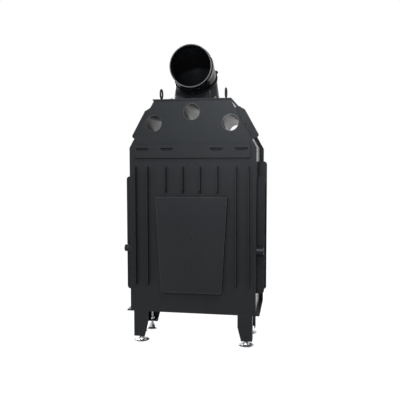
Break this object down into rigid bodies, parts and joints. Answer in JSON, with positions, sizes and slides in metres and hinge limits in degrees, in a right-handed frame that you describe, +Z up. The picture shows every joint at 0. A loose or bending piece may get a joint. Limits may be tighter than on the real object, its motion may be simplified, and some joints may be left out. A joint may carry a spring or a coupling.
{
  "type": "fireplace insert",
  "caption": "Steel fireplace insert with ribbed walls, a sloped hood with exchanger tubes, a turning flue elbow, a glazed hinged door, an ash drawer and levelling legs.",
  "frame": {"origin": "on the floor under the middle of the whole object's box", "axes": "+Z up, the door faces -Y and the back with its fins and the flue mouth faces +Y, +X is the side of the door handle"},
  "size_m": [0.652, 0.437, 1.3385],
  "materials": {
    "black_steel": "satin black stove paint",
    "tube_steel": "semi-gloss dark grey",
    "flue_steel": "semi-gloss black stove paint",
    "zinc_steel": "bright zinc plate",
    "cast_iron": "painted casting",
    "inner_steel": "dark heat-blued sheet",
    "fireclay": "matt fireclay",
    "glass": "clear heat-proof glass, slightly grey",
    "rope_seal": "braided glass-fibre rope",
    "grip_steel": "dark brushed",
    "dark_hardware": "black oxide"
  },
  "bodies": {
    "stove": {"rear_plate": "black_steel", "side_panel_left": "black_steel", "side_panel_right": "black_steel", "front_plate": "black_steel", "base_plate": "black_steel", "top_plate": "black_steel", "rear_fins": "black_steel", "rear_cover": "black_steel", "rear_cover_screws": "dark_hardware", "louvre_strip": "black_steel", "side_fins": "black_steel", "hood_fins": "black_steel", "side_spigots": "black_steel", "tube_left": "tube_steel", "tube_middle": "tube_steel", "tube_right": "tube_steel", "lifting_eye_left": "dark_hardware", "lifting_eye_right": "dark_hardware", "collar_clamps": "flue_steel", "collar_clamp_bolts": "zinc_steel", "leg_rear_left": "black_steel", "leg_rear_right": "black_steel", "leg_front_left": "black_steel", "leg_front_right": "black_steel", "foot_locknuts": "zinc_steel", "door_surround": "black_steel", "hinge_brackets": "cast_iron", "hinge_pins": "zinc_steel", "hearth_shelf": "inner_steel", "hearth_slabs": "fireclay", "grate": "cast_iron", "log_guard": "cast_iron", "lining_rear": "fireclay", "lining_sides": "fireclay", "baffle_lower": "fireclay", "baffle_upper": "inner_steel", "baffle_brackets": "inner_steel", "ash_chamber_walls": "inner_steel", "drawer_runners": "inner_steel", "air_guides": "inner_steel", "air_spigot": "black_steel"},
    "collar": {"flue_collar": "flue_steel", "joint_clamps": "flue_steel"},
    "elbow": {"flue_elbow": "flue_steel", "flue_mouth": "flue_steel"},
    "door": {"door_frame": "cast_iron", "door_glass": "glass", "glass_seal": "rope_seal", "glass_clips": "zinc_steel", "door_rope_seal": "rope_seal"},
    "handle": {"handle_spindle": "zinc_steel", "handle_grip": "grip_steel", "latch_pawl": "zinc_steel"},
    "drawer": {"ash_drawer": "black_steel", "drawer_knob": "zinc_steel"},
    "air_control": {"air_slider": "zinc_steel"},
    "foot_rear_left": {"foot_rear_left": "zinc_steel"},
    "foot_rear_right": {"foot_rear_right": "zinc_steel"},
    "foot_front_left": {"foot_front_left": "zinc_steel"},
    "foot_front_right": {"foot_front_right": "zinc_steel"}
  },
  "joints": [
    {"name": "collar_swivel", "type": "hinge", "parent": "stove", "child": "collar", "pos_m": [0, 0.0585, 1.105], "axis": [0, 0, 1], "continuous": true},
    {"name": "elbow_turn", "type": "hinge", "parent": "collar", "child": "elbow", "pos_m": [0, 0.0705, 1.205], "axis": [0, 0.7071, 0.7071], "range_deg": [0, 180]},
    {"name": "door_hinge", "type": "hinge", "parent": "stove", "child": "door", "pos_m": [-0.25, -0.1635, 0.5], "axis": [0, 0, -1], "range_deg": [0, 110]},
    {"name": "handle_turn", "type": "hinge", "parent": "door", "child": "handle", "pos_m": [0.211, -0.1735, 0.537], "axis": [0, 1, 0], "range_deg": [0, 90]},
    {"name": "drawer_slide", "type": "slide", "parent": "stove", "child": "drawer", "axis": [0, -1, 0], "range_m": [0, 0.2]},
    {"name": "air_slide", "type": "slide", "parent": "stove", "child": "air_control", "axis": [1, 0, 0], "range_m": [0, 0.04]},
    {"name": "foot_rear_left_screw", "type": "slide", "parent": "stove", "child": "foot_rear_left", "axis": [0, 0, -1], "range_m": [0, 0.03]},
    {"name": "foot_rear_right_screw", "type": "slide", "parent": "stove", "child": "foot_rear_right", "axis": [0, 0, -1], "range_m": [0, 0.03]},
    {"name": "foot_front_left_screw", "type": "slide", "parent": "stove", "child": "foot_front_left", "axis": [0, 0, -1], "range_m": [0, 0.03]},
    {"name": "foot_front_right_screw", "type": "slide", "parent": "stove", "child": "foot_front_right", "axis": [0, 0, -1], "range_m": [0, 0.03]}
  ]
}
